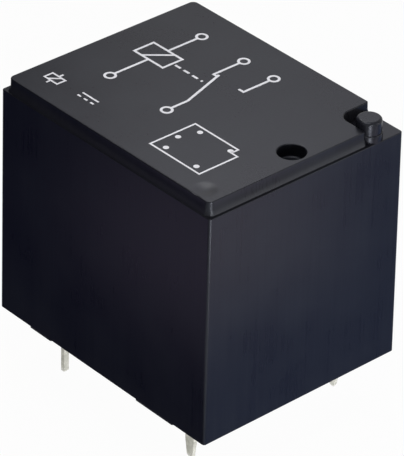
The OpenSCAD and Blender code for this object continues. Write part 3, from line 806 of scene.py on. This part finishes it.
def buildResin(shape):
    low, high = boxInMm("sealing_resin")
    bm = bmesh.new()
    pins = [(x, y, *shape["pinHalves"][name.split("_")[0]]) for name, x, y in pinPlaces()]
    countX = round((high.x - low.x) / shape["step"])
    countY = round((high.y - low.y) / shape["step"])
    bend = shape["corner"]

    def tuck(x, y):
        # Keeps a point inside the round corners
        sideX, sideY = math.copysign(1.0, x), math.copysign(1.0, y)
        dx, dy = abs(x) - (high.x - bend), abs(y) - (high.y - bend)
        far = math.hypot(dx, dy)
        if dx <= 0.0 or dy <= 0.0 or far <= bend:
            return x, y
        return sideX * (high.x - bend + dx * bend / far), sideY * (high.y - bend + dy * bend / far)

    def face(x, y):
        wall = min(high.x - abs(x), high.y - abs(y))
        near = min(pinGap(x, y, pin) for pin in pins)
        pull = math.exp(-wall / shape["reach"]) + math.exp(-near / shape["reach"])
        ripple = noise.noise(Vector((x, y, 0.0)) * shape["waveScale"])
        return low.z - shape["rise"] * min(pull, 1.0) + shape["wave"] * ripple

    grid = []
    for i in range(countX + 1):
        row = []
        for j in range(countY + 1):
            x, y = tuck(low.x + (high.x - low.x) * i / countX, low.y + (high.y - low.y) * j / countY)
            row.append(bm.verts.new((x, y, face(x, y))))
        grid.append(row)
    for i in range(countX):
        for j in range(countY):
            bm.faces.new((grid[i][j], grid[i][j + 1], grid[i + 1][j + 1], grid[i + 1][j]))
    border = [row[0] for row in grid] + grid[-1][1:]
    border += [row[-1] for row in reversed(grid[:-1])] + list(reversed(grid[0][1:-1]))
    top = [bm.verts.new((v.co.x, v.co.y, high.z)) for v in border]
    bridge(bm, border, top)
    bm.faces.new(top)
    return meshObject(bm, "resin_fill")


resin = buildResin(resinShape)
dress(resin, "castResin", "relay", sharp=60.0, replaced=["sealing_resin"])
print("resin:", len(resin.data.polygons), "faces")

# Winding with its turns of wire, and the two wire ends wrapped on the coil pins
coilShape = {
    "wire": 0.16, "around": 72, "bulge": 5, "tubeRadius": 2.56,
    "leadWire": 0.2, "leadTurns": 5, "leadSides": 10, "leadSteps": 20, "runSteps": 8,
    "pinCorner": 0.294, "leadLift": 0.13,
}


def buildWinding(shape):
    low, high = boxInMm("coil_winding")
    axis = (low.x + high.x) / 2
    outer = (high.x - low.x) / 2
    turns = int((high.z - low.z) / shape["wire"])
    half = (high.z - low.z) / turns / 2
    profile = [(shape["tubeRadius"], high.z), (shape["tubeRadius"], low.z)]
    for turn in range(turns):
        for k in range(shape["bulge"]):
            angle = math.pi * (k / shape["bulge"] - 0.5)
            lift = low.z + half * (2 * turn + 1)
            profile.append((outer - half + half * math.cos(angle), lift + half * math.sin(angle)))
    profile.append((outer - half, high.z))
    bm = bmesh.new()
    loops = [addLoop(bm, circleLoop(axis, 0.0, r, shape["around"]), z) for r, z in profile]
    climb(bm, loops + loops[:1])
    return meshObject(bm, "winding_turns")


def sweepTube(bm, points, radius, sides):
    # Round tube along a line, its rings carried on without twist
    places = [Vector(p) for p in points]
    side = Vector((0.0, 0.0, 1.0))
    turns = [2 * math.pi * k / sides for k in range(sides)]
    rings = []
    for i, here in enumerate(places):
        ahead = (places[min(i + 1, len(places) - 1)] - places[max(i - 1, 0)]).normalized()
        side = (side - ahead * side.dot(ahead)).normalized()
        other = ahead.cross(side)
        ring = [here + radius * (math.cos(a) * side + math.sin(a) * other) for a in turns]
        rings.append([bm.verts.new(place) for place in ring])
    climb(bm, rings)
    bm.faces.new(rings[0])
    bm.faces.new(rings[-1])


def buildLead(shape, node, side):
    low, high = boxInMm("coil_winding")
    axisX, outer = (low.x + high.x) / 2, (high.x - low.x) / 2
    pinLow, pinHigh = boxInMm("coil_terminal_" + node[-1])
    pinX, pinY = (pinLow.x + pinHigh.x) / 2, (pinLow.y + pinHigh.y) / 2
    wire = shape["leadWire"]
    wrap = shape["pinCorner"] + wire / 2
    aim = math.atan2(-pinY, axisX - pinX)
    last = aim - side * math.pi / 2
    steps = shape["leadTurns"] * shape["leadSteps"]
    foot = low.z + shape["leadLift"]
    points = []
    for k in range(steps + 1):
        angle = last - side * 2 * math.pi * (steps - k) / shape["leadSteps"]
        lift = foot + wire * (steps - k) / shape["leadSteps"]
        points.append((pinX + wrap * math.cos(angle), pinY + wrap * math.sin(angle), lift))
    # Straight run that leaves the wrap on its tangent and ends on the winding
    startX, startY, lift = points[-1]
    ahead = Vector((math.cos(aim), math.sin(aim)))
    away = Vector((startX - axisX, startY))
    along = -away.dot(ahead)
    aside = (away + along * ahead).length
    run = along - math.sqrt((outer - wire / 2) ** 2 - aside ** 2)
    for k in range(1, shape["runSteps"] + 1):
        far = run * k / shape["runSteps"]
        points.append((startX + ahead.x * far, startY + ahead.y * far, lift))
    bm = bmesh.new()
    sweepTube(bm, points, wire / 2, shape["leadSides"])
    return meshObject(bm, node + "_wire")


winding = buildWinding(coilShape)
dress(winding, "enamelWire", "relay", sharp=80.0, replaced=["coil_winding"])
for leadNode, leadSide in (("coil_lead_a", -1), ("coil_lead_b", 1)):
    lead = buildLead(coilShape, leadNode, leadSide)
    dress(lead, "enamelWire", "relay", sharp=60.0, replaced=[leadNode])
print("winding:", len(winding.data.polygons), "faces")

# Stamped, moulded and turned pieces: the node's own form with small radii on its edges
edgeRadius = {
    "base": 0.06, "bobbin": 0.06, "core": 0.05, "yoke": 0.1, "yoke_rivets": 0.1,
    "armature": 0.1, "armature_rivets": 0.1, "moving_contact": 0.03, "no_contact": 0.03, "nc_contact": 0.03,
    "coil_terminal_a": 0.035, "coil_terminal_b": 0.035, "common_terminal": 0.035,
    "no_terminal": 0.035, "nc_terminal": 0.035, "contact_spring": 0.03,
}
slotFinish = {
    "header_plastic": "headerPlastic",
    "tinned_pin": "tinPlate",
    "former_plastic": "formerPlastic",
    "magnet_iron": "platedIron",
    "spring_bronze": "springBronze",
    "contact_silver": "contactSilver",
}
nodeSlot = {row["node"]: row["material_slot"] for row in frame["record"]["subparts"]}
bodyOf = {node: body for body, members in frame["record"]["behaviour"]["bodies"].items() for node in members}
edgePlan = {"weld": 0.0005, "flat": 1.0, "crease": 38.0, "steps": 3}   # mm, degrees, degrees
bladeTip = {
    "length": 1.4, "nose": 0.22, "foot": 0.2, "shoulder": 1.1,   # foot and shoulder as shares of the length
    "ends": ((0.5, 0.21), (0.22, 0.11)),   # width and thickness before and after the nose is cut
    "nodes": ("common_terminal", "no_terminal", "nc_terminal"),
}


def shapeTip(bm, tip):
    # Draws a blade's foot to a point, thinner both ways, with a blunt nose
    footZ, shoulderZ = tip["foot"] * tip["length"], tip["shoulder"] * tip["length"]
    foot = [v for v in bm.verts if v.co.z < footZ]
    shoulder = [v for v in bm.verts if footZ < v.co.z < shoulderZ]
    middle = sum((v.co for v in foot), Vector()) / len(foot)
    spans = [max(v.co[k] for v in shoulder) - min(v.co[k] for v in shoulder) for k in (0, 1)]
    axes = (0, 1) if spans[0] > spans[1] else (1, 0)
    for size in tip["ends"]:
        for v in foot:
            for axis, span in zip(axes, size):
                v.co[axis] = middle[axis] + math.copysign(span / 2, v.co[axis] - middle[axis])
        if size == tip["ends"][0]:
            everything = bm.verts[:] + bm.edges[:] + bm.faces[:]
            bmesh.ops.bisect_plane(bm, geom=everything, plane_co=(0, 0, tip["nose"]), plane_no=(0, 0, 1))


def roundedCopy(node, radius, plan):
    bm = bmesh.new()
    bm.from_mesh(nodes[node].data)
    bm.transform(Matrix.Scale(1.0 / mm, 4))
    bmesh.ops.remove_doubles(bm, verts=bm.verts, dist=plan["weld"])
    bmesh.ops.dissolve_limit(bm, angle_limit=math.radians(plan["flat"]), verts=bm.verts, edges=bm.edges)
    if node in bladeTip["nodes"]:
        shapeTip(bm, bladeTip)
    limit = math.radians(plan["crease"])
    edges = [e for e in bm.edges if len(e.link_faces) == 2 and e.calc_face_angle() > limit]
    bmesh.ops.bevel(
        bm, geom=edges, offset=radius, offset_type="OFFSET", segments=plan["steps"], profile=0.5,
        affect="EDGES", clamp_overlap=True,
    )
    return meshObject(bm, node + "_finished")


for node, radius in edgeRadius.items():
    piece = roundedCopy(node, radius, edgePlan)
    slot = nodeSlot[node]
    flexes = node == "contact_spring"
    dress(piece, slotFinish[slot], None if flexes else bodyOf[node], replaced=[node])
    if flexes:
        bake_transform(piece)
print("finished pieces:", len(edgeRadius))

# Floor, cards, world and lamps
stagePlan = {
    "floorSize": 3.0, "floorTone": 0.88, "floorGlow": 0.97, "worldSoft": 0.05,
    # name: place (mm), aim (mm), width and height (mm), radiance, tint
    "lamps": {
        "backSheet": ((-59, 67.5, 98), (7, 7.5, 20.6), (36, 48), 0.98, (0.86, 0.87, 1.08)),
        "strip": ((-57, 39, 103), (8.0, -6.7, 20.6), (38, 8), 24.0, (1, 0.98, 0.95)),
        "topLamp": ((5, -5, 62), (2, -2, 20), (24, 24), 6.0, (1, 1, 1)),
        "frontLamp": ((73, -24, 18), (10, -6, 12), (24, 24), 14.0, (1, 1, 1)),
        "rightLamp": ((34, -3, 22), (10, -3, 14), (10, 10), 4.0, (1, 1, 1)),
        "rightSheet": ((110, 75, 26), (9, 0, 20), (50, 70), 3.2, (1, 1, 1)),
    },
    # name: corners (mm), fades (direction, start and end in mm), tone before the fades and after them all;
    # a card without fades has its last tone all over
    "cards": {
        "leftCard": (
            ((-60, -60, 0.05), (14, -60, 0.05), (14, -9.5, 0.05), (-60, -9.5, 0.05)),
            (
                ((1.0, -1.104, 0.0), 1.9, 13.7),
                ((0.0, -1.0, 0.0), 15.1, 26.5),
                ((0.0, 1.0, 0.0), -37.0, -29.0),
            ),
            (0.03, 0.04, 0.13), (0.74, 0.62, 0.92),
        ),
        "rightCard": (
            ((11.3, -12, 0.05), (50, -12, 0.05), (50, 45, 0.05), (11.3, 45, 0.05)),
            (((0.908, -1.0, 0.0), 3.1, 10.1), ((1.0, 0.0, 0.0), 21.4, 28.2)),
            (0.26, 0.38, 0.74), (1.6, 1.5, 1.75),
        ),
        "pinCard": (
            ((-14, -9.4, 0.05), (11, -9.4, 0.05), (11, -6.4, 0.05), (-14, -6.4, 0.05)),
            (), None, (0.6, 0.6, 0.57),
        ),
        "edgeCard": (
            ((38, -25, 0.05), (58, -25, 0.05), (58, -12.5, 0.05), (38, -12.5, 0.05)),
            (), None, (28.0, 28.0, 29.0),
        ),
        "leftWall": (
            ((-46, 31, 0.1), (-46, -60, 0.1), (-46, -60, 90), (-46, 31, 90)),
            (((0.0, 1.0, 0.0), 8.0, 31.0),), (0.12, 0.12, 0.16), (0.8, 0.8, 0.85),
        ),
        "frontWall": (
            ((-46, -60, 0.1), (-5, -60, 0.1), (-5, -60, 90), (-46, -60, 90)),
            (((0.0, 0.0, 1.0), 8.0, 40.0),), (0.6, 0.56, 0.72), (0.12, 0.12, 0.16),
        ),
    },
}


def bareMaterial(name):
    material = bpy.data.materials.new(name)
    material.use_nodes = True
    material.node_tree.nodes.clear()
    return material, material.node_tree


def seenRays(tree):
    # 1 for the rays that show the background: from the camera, mirrored or let through
    path = tree.nodes.new("ShaderNodeLightPath")
    seen = addMath(tree, "MAXIMUM", path.outputs["Is Camera Ray"], path.outputs["Is Glossy Ray"])
    return addMath(tree, "MAXIMUM", seen, path.outputs["Is Transmission Ray"])


def mixOut(tree, outKind, share, first, second):
    mix = tree.nodes.new("ShaderNodeMixShader")
    out = tree.nodes.new(outKind)
    tree.links.new(share, mix.inputs[0])
    tree.links.new(first.outputs[0], mix.inputs[1])
    tree.links.new(second.outputs[0], mix.inputs[2])
    tree.links.new(mix.outputs[0], out.inputs["Surface"])


def buildFloor(plan):
    bm = bmesh.new()
    bmesh.ops.create_grid(bm, x_segments=1, y_segments=1, size=plan["floorSize"] / 2)
    floor = meshObject(bm, "floor")
    material, tree = bareMaterial("paleFloor")
    matt = tree.nodes.new("ShaderNodeBsdfDiffuse")
    matt.inputs["Color"].default_value = (plan["floorTone"], plan["floorTone"], plan["floorTone"], 1.0)
    glow = tree.nodes.new("ShaderNodeEmission")
    share = addMath(tree, "MULTIPLY", seenRays(tree), plan["floorGlow"])
    mixOut(tree, "ShaderNodeOutputMaterial", share, matt, glow)
    floor.data.materials.append(material)


def addFades(tree, fades):
    # Product of soft steps, each along its own direction
    place = tree.nodes.new("ShaderNodeTexCoord").outputs["Object"]
    share = 1.0
    for along, first, last in fades:
        reach = tree.nodes.new("ShaderNodeVectorMath")
        reach.operation = "DOT_PRODUCT"
        reach.inputs[1].default_value = Vector(along) / mm
        tree.links.new(place, reach.inputs[0])
        fade = tree.nodes.new("ShaderNodeMapRange")
        fade.interpolation_type = "SMOOTHSTEP"
        fade.inputs["From Min"].default_value = first
        fade.inputs["From Max"].default_value = last
        tree.links.new(reach.outputs["Value"], fade.inputs["Value"])
        share = addMath(tree, "MULTIPLY", fade.outputs[0], share)
    return share


def buildCards(plan):
    # Toned cards beside the object, out of the picture: only mirrored rays meet them
    for name, (corners, fades, near, far) in plan["cards"].items():
        bm = bmesh.new()
        bm.faces.new([bm.verts.new(Vector(corner) * mm) for corner in corners])
        card = meshObject(bm, name)
        material, tree = bareMaterial(name)
        tone = tree.nodes.new("ShaderNodeEmission")
        if fades:
            tree.links.new(addRamp(tree, addFades(tree, fades), near, far), tone.inputs["Color"])
        else:
            tone.inputs["Color"].default_value = (*far, 1.0)
        out = tree.nodes.new("ShaderNodeOutputMaterial")
        tree.links.new(tone.outputs[0], out.inputs["Surface"])
        card.data.materials.append(material)
        card.visible_camera = False
        card.visible_diffuse = False
        card.visible_shadow = False
        card.visible_transmission = False


def buildWorld(plan):
    world = bpy.data.worlds.new("studio")
    scene.world = world
    world.use_nodes = True
    tree = world.node_tree
    tree.nodes.clear()
    soft = tree.nodes.new("ShaderNodeBackground")
    soft.inputs["Strength"].default_value = plan["worldSoft"]
    white = tree.nodes.new("ShaderNodeBackground")
    for node in (soft, white):
        node.inputs["Color"].default_value = (1.0, 1.0, 1.0, 1.0)
    mixOut(tree, "ShaderNodeOutputWorld", seenRays(tree), soft, white)


def buildLamps(plan):
    for name, (place, aim, size, radiance, tint) in plan["lamps"].items():
        data = bpy.data.lights.new(name, "AREA")
        data.shape = "RECTANGLE"
        data.size, data.size_y = size[0] * mm, size[1] * mm
        data.energy = math.pi * data.size * data.size_y * radiance
        data.color = tint
        lamp = bpy.data.objects.new(name, data)
        turn = (Vector(place) - Vector(aim)).to_track_quat("Z", "Y").to_matrix().to_4x4()
        lamp.matrix_world = Matrix.Translation(Vector(place) * mm) @ turn
        scene.collection.objects.link(lamp)


buildFloor(stagePlan)
buildCards(stagePlan)
buildWorld(stagePlan)
buildLamps(stagePlan)
scene.view_settings.view_transform = "Standard"
print("stage set")
